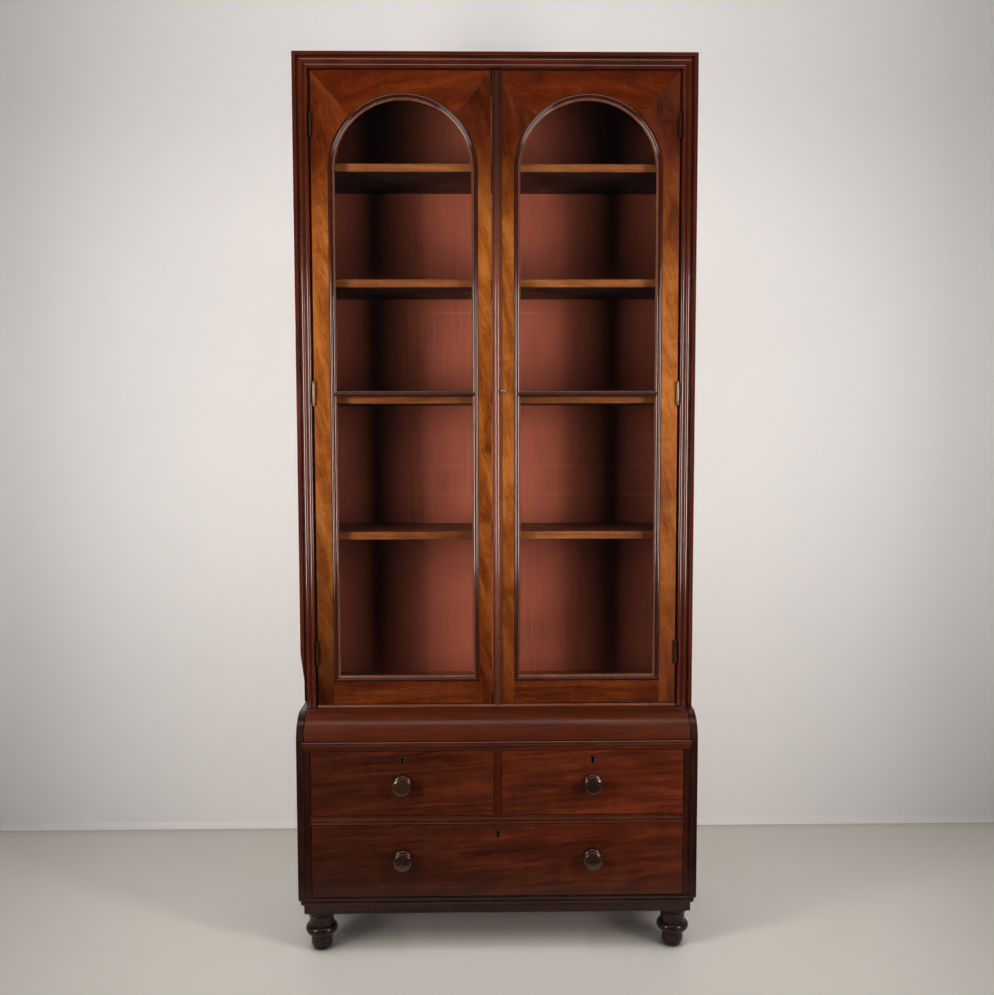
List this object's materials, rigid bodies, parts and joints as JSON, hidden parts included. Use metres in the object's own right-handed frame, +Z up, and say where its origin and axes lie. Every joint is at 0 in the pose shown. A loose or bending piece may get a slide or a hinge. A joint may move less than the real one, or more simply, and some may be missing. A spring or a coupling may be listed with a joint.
{
  "type": "glazed display cabinet",
  "caption": "Tall two-part display cabinet: glazed doors with arched tops over shelves, above a chest with a rounded frieze drawer, drawers with turned knobs, and turned feet.",
  "frame": {"origin": "on the floor, under the centre of the whole cabinet's bounding box", "axes": "+Z up, +Y to the back, +X to the right as seen from the front; millimetres in the source"},
  "size_m": [1.07, 0.432, 2.409],
  "materials": {
    "mahogany": "polished mahogany",
    "door_veneer": "polished mahogany veneer",
    "turned_mahogany": "polished turned mahogany",
    "pine": "plain pine",
    "painted_back": "matt terracotta paint on boards",
    "door_glass": "clear",
    "brass": "aged",
    "key_steel": "worn"
  },
  "bodies": {
    "case": {"base_side_left": "mahogany", "base_side_right": "mahogany", "base_top_board": "mahogany", "base_bottom_board": "pine", "base_back_panel": "pine", "base_moulding": "mahogany", "plinth_frame": "mahogany", "foot_front_left": "turned_mahogany", "foot_front_right": "turned_mahogany", "foot_back_left": "turned_mahogany", "foot_back_right": "turned_mahogany", "front_rails": "mahogany", "drawer_divider": "mahogany", "drawer_runners": "mahogany", "upper_side_left": "mahogany", "upper_side_right": "mahogany", "upper_top_board": "mahogany", "upper_bottom_board": "mahogany", "upper_back_boards": "painted_back", "frame_moulding": "mahogany", "shelf_1": "mahogany", "shelf_2": "mahogany", "shelf_3": "mahogany", "shelf_4": "mahogany", "shelf_pegs": "pine", "case_hinge_leaves": "brass"},
    "left_door": {"left_door_hinge_stile": "door_veneer", "left_door_meeting_stile": "door_veneer", "left_door_top_rail": "door_veneer", "left_door_bottom_rail": "door_veneer", "left_door_glazing_bead": "mahogany", "left_door_glass": "door_glass", "left_door_fittings": "brass"},
    "right_door": {"right_door_hinge_stile": "door_veneer", "right_door_meeting_stile": "door_veneer", "right_door_top_rail": "door_veneer", "right_door_bottom_rail": "door_veneer", "right_door_glazing_bead": "mahogany", "right_door_glass": "door_glass", "right_door_hinge_leaves": "brass", "astragal": "mahogany", "door_lock_case": "brass"},
    "lock_bolt": {"door_lock_bolt": "brass"},
    "key": {"door_key": "key_steel"},
    "left_top_bolt": {"left_door_top_bolt": "brass"},
    "left_bottom_bolt": {"left_door_bottom_bolt": "brass"},
    "short_drawer_left": {"short_drawer_left_front": "mahogany", "short_drawer_left_box": "pine", "short_drawer_left_knob": "turned_mahogany", "short_drawer_left_lock": "brass"},
    "short_drawer_right": {"short_drawer_right_front": "mahogany", "short_drawer_right_box": "pine", "short_drawer_right_knob": "turned_mahogany", "short_drawer_right_lock": "brass"},
    "long_drawer": {"long_drawer_front": "mahogany", "long_drawer_box": "pine", "long_drawer_knobs": "turned_mahogany", "long_drawer_lock": "brass"},
    "cushion_drawer": {"cushion_drawer_front": "mahogany", "cushion_drawer_box": "pine"}
  },
  "joints": [
    {"name": "left_door_hinge", "type": "hinge", "parent": "case", "child": "left_door", "pos_m": [-0.48925, -0.095, 1.516], "axis": [0, 0, -1], "range_deg": [0, 115]},
    {"name": "right_door_hinge", "type": "hinge", "parent": "case", "child": "right_door", "pos_m": [0.48925, -0.095, 1.516], "axis": [0, 0, 1], "range_deg": [0, 115]},
    {"name": "door_key_turn", "type": "hinge", "parent": "right_door", "child": "key", "pos_m": [0.0185, -0.08, 1.521], "axis": [0, -1, 0], "range_deg": [0, 180]},
    {"name": "lock_bolt_slide", "type": "slide", "parent": "right_door", "child": "lock_bolt", "axis": [-1, 0, 0], "range_m": [0, 0.009]},
    {"name": "left_top_bolt_slide", "type": "slide", "parent": "left_door", "child": "left_top_bolt", "axis": [0, 0, 1], "range_m": [0, 0.009]},
    {"name": "left_bottom_bolt_slide", "type": "slide", "parent": "left_door", "child": "left_bottom_bolt", "axis": [0, 0, -1], "range_m": [0, 0.009]},
    {"name": "cushion_drawer_slide", "type": "slide", "parent": "case", "child": "cushion_drawer", "axis": [0, -1, 0], "range_m": [0, 0.24]},
    {"name": "short_left_drawer_slide", "type": "slide", "parent": "case", "child": "short_drawer_left", "axis": [0, -1, 0], "range_m": [0, 0.28]},
    {"name": "short_right_drawer_slide", "type": "slide", "parent": "case", "child": "short_drawer_right", "axis": [0, -1, 0], "range_m": [0, 0.28]},
    {"name": "long_drawer_slide", "type": "slide", "parent": "case", "child": "long_drawer", "axis": [0, -1, 0], "range_m": [0, 0.28]}
  ],
  "couplings": [
    {"joint": "door_key_turn", "follows": "lock_bolt_slide", "rad_per_m": 349}
  ]
}
